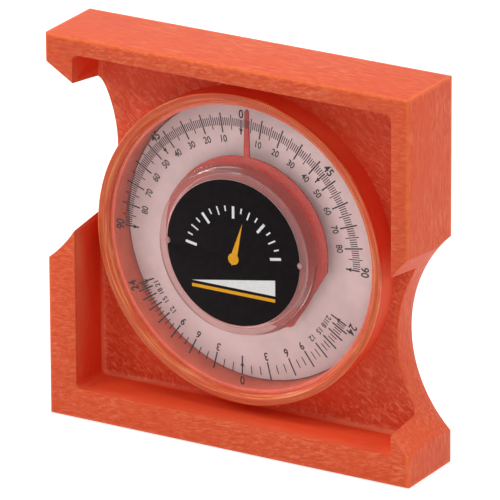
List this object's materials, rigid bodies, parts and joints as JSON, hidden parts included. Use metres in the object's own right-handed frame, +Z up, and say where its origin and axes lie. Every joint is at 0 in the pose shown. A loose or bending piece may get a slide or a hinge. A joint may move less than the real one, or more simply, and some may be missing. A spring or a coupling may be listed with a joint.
{
  "type": "inclinometer",
  "caption": "Square moulded frame with two round pipe cut-outs, carrying a clear dial capsule with a free-swinging weighted pointer for slope and pitch.",
  "frame": {"origin": "middle of the base, at floor level, halfway between the front and back planes", "axes": "+X to the right of someone reading the dial, +Y from the dial side to the back, +Z up"},
  "size_m": [0.13, 0.027, 0.127],
  "materials": {
    "frame_foam": "orange structural-foam moulding with swirl marks",
    "clear_plastic": "clear polished plastic",
    "white_disc": "plain white sheet",
    "black_label": "black printed film",
    "red_plastic": "translucent red moulding",
    "red_lacquer": "steel lacquered red like the pointer",
    "brass": "turned brass",
    "steel": "bright steel",
    "plated_steel": "zinc-plated steel"
  },
  "bodies": {
    "housing": {"frame": "frame_foam", "lens_cover": "clear_plastic", "case_back": "clear_plastic", "background_disc": "white_disc", "hub_label": "black_label", "front_bearing": "brass", "rear_bearing": "brass", "capsule_screws": "plated_steel"},
    "pendulum": {"pointer": "red_plastic", "pointer_hub": "brass", "axle": "steel", "counterweight": "red_lacquer", "weight_rivets": "red_lacquer", "front_thrust_washer": "steel", "rear_thrust_washer": "steel"}
  },
  "joints": [
    {"name": "pendulum_swing", "type": "hinge", "parent": "housing", "child": "pendulum", "pos_m": [0, 0, 0.0643], "axis": [0, 1, 0], "continuous": true}
  ]
}
